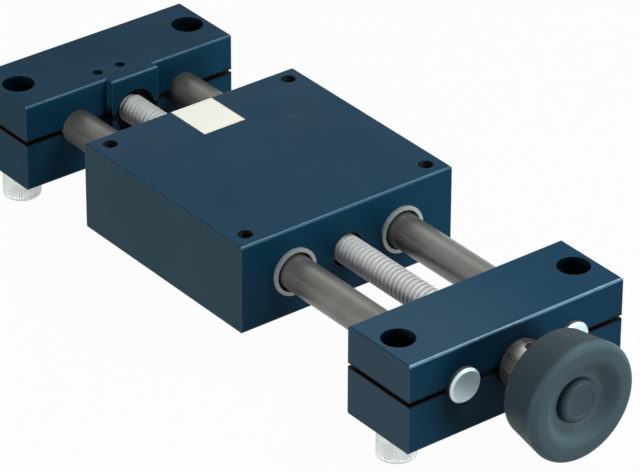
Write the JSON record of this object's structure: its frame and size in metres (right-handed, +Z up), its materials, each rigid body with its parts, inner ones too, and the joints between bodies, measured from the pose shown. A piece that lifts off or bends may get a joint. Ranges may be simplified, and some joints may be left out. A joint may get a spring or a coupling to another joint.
{
  "type": "handwheel lead-screw linear slide",
  "caption": "Manual linear slide: clamping end blocks hold guide shafts, and a handwheel spindle drives a flat carriage with tapped corner holes.",
  "frame": {"origin": "middle of the whole slide's footprint, at the plane of the screw heads it stands on", "axes": "+X along the guide shafts towards the handwheel, +Y across the shafts, +Z up"},
  "size_m": [0.2664, 0.085, 0.0484],
  "materials": {
    "blue_anodised": "dark blue anodised, satin",
    "clear_anodised": "clear anodised, satin",
    "ground_shaft": "hard anodised shafting, smooth satin",
    "spindle_steel": "bright rolled thread",
    "turned_steel": "fine turned",
    "zinc_steel": "bright zinc plated",
    "black_steel": "black oxide",
    "bearing_plastic": "dark bearing polymer",
    "nut_plastic": "pale yellow bearing polymer",
    "wheel_plastic": "moulded, fine satin",
    "cap_plastic": "moulded, fine satin",
    "label_blank": "blank cream film"
  },
  "bodies": {
    "frame": {"front_end_block": "blue_anodised", "rear_end_block": "blue_anodised", "left_guide_shaft": "ground_shaft", "right_guide_shaft": "ground_shaft", "clamp_screws": "zinc_steel", "clamp_spring_washers": "zinc_steel", "front_inner_bush": "bearing_plastic", "front_outer_bush": "bearing_plastic", "rear_bush": "bearing_plastic", "rear_bush_set_screw": "black_steel"},
    "spindle": {"lead_screw": "spindle_steel", "thrust_washer": "turned_steel", "set_collar": "turned_steel", "collar_set_screw": "black_steel", "handwheel_rim": "wheel_plastic", "handwheel_insert": "turned_steel", "insert_set_screw": "black_steel", "handwheel_screw": "zinc_steel", "centre_cap": "cap_plastic"},
    "carriage": {"carriage_body": "blue_anodised", "front_left_sleeve": "clear_anodised", "front_right_sleeve": "clear_anodised", "rear_left_sleeve": "clear_anodised", "rear_right_sleeve": "clear_anodised", "front_left_liner": "bearing_plastic", "front_right_liner": "bearing_plastic", "rear_left_liner": "bearing_plastic", "rear_right_liner": "bearing_plastic", "lead_nut": "nut_plastic", "nut_screws": "zinc_steel", "label_plate": "label_blank"}
  },
  "joints": [
    {"name": "spindle_spin", "type": "hinge", "parent": "frame", "child": "spindle", "pos_m": [0, 0, 0.028], "axis": [1, 0, 0], "range_deg": [-9451, 5491]},
    {"name": "carriage_slide", "type": "slide", "parent": "frame", "child": "carriage", "axis": [1, 0, 0], "range_m": [-0.0305, 0.0525]}
  ],
  "couplings": [
    {"joint": "spindle_spin", "follows": "carriage_slide", "rad_per_m": -3141.6}
  ]
}
